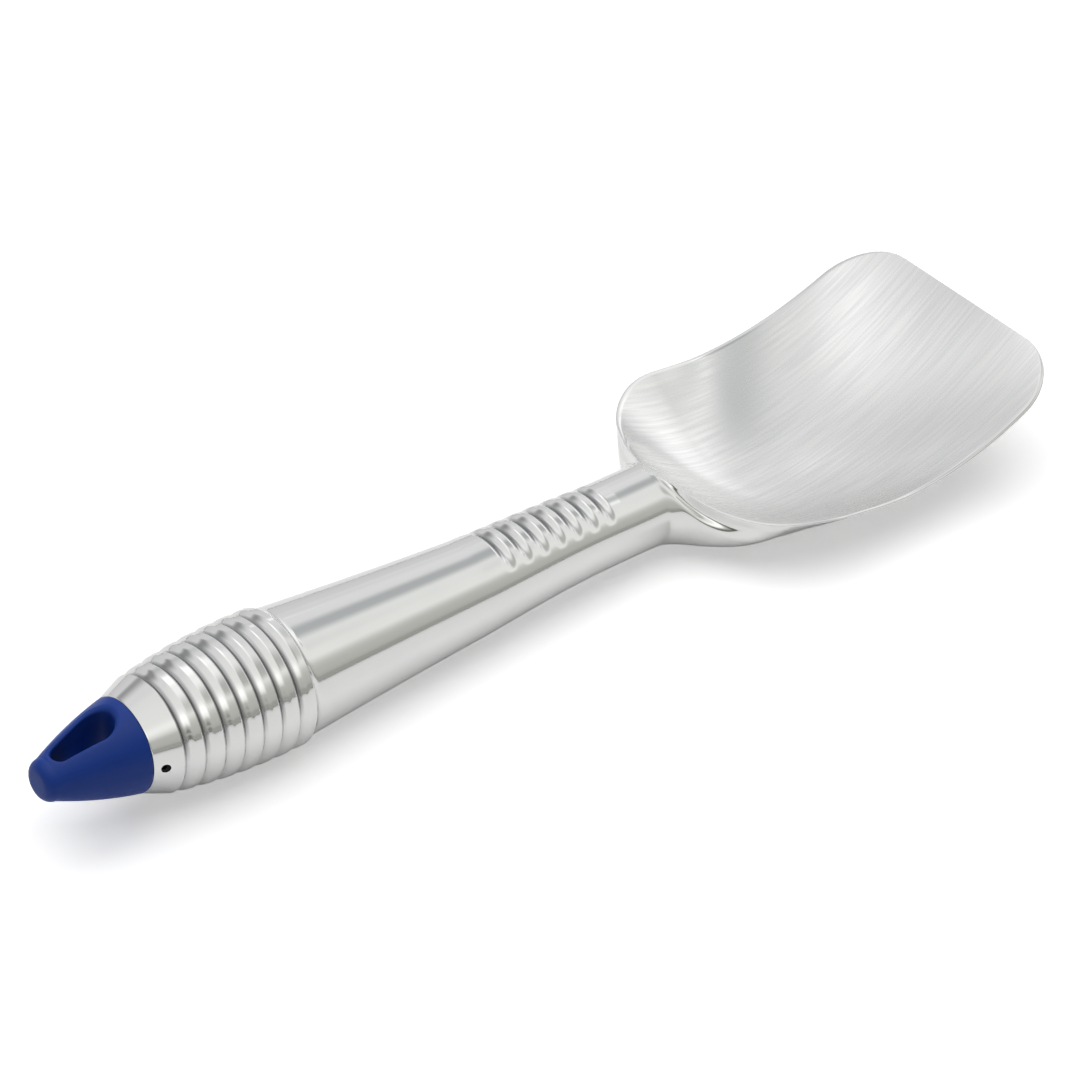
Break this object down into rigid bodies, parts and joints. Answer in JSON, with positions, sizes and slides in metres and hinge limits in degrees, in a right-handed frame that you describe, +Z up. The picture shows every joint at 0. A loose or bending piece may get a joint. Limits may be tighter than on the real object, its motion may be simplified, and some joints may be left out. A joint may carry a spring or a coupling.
{
  "type": "ice cream spade",
  "caption": "Cast aluminium ice cream spade with a shallow open blade, a ringed tapering handle that holds a heat-carrying fluid, and a plastic end cap with a hanging hole.",
  "frame": {"origin": "middle of the bounding box on the floor, with the spade lying on its handle rings and the belly of its blade", "axes": "+X along the handle from the end cap to the tip of the blade, +Z up out of the open blade, +Y to the left when looking along +X"},
  "size_m": [0.2283, 0.0622, 0.0283],
  "materials": {
    "cast_aluminium": "polished handle and outside, brushed inside of the blade",
    "cap_plastic": "satin moulded",
    "spring_steel": "plain",
    "seal_rubber": "matte",
    "handle_fluid": "clear liquid, shown as a solid"
  },
  "bodies": {
    "root": {"spade_casting": "cast_aluminium", "end_cap": "cap_plastic", "cap_pin": "spring_steel", "seal_ring": "seal_rubber", "heat_fluid": "handle_fluid"}
  },
  "joints": []
}
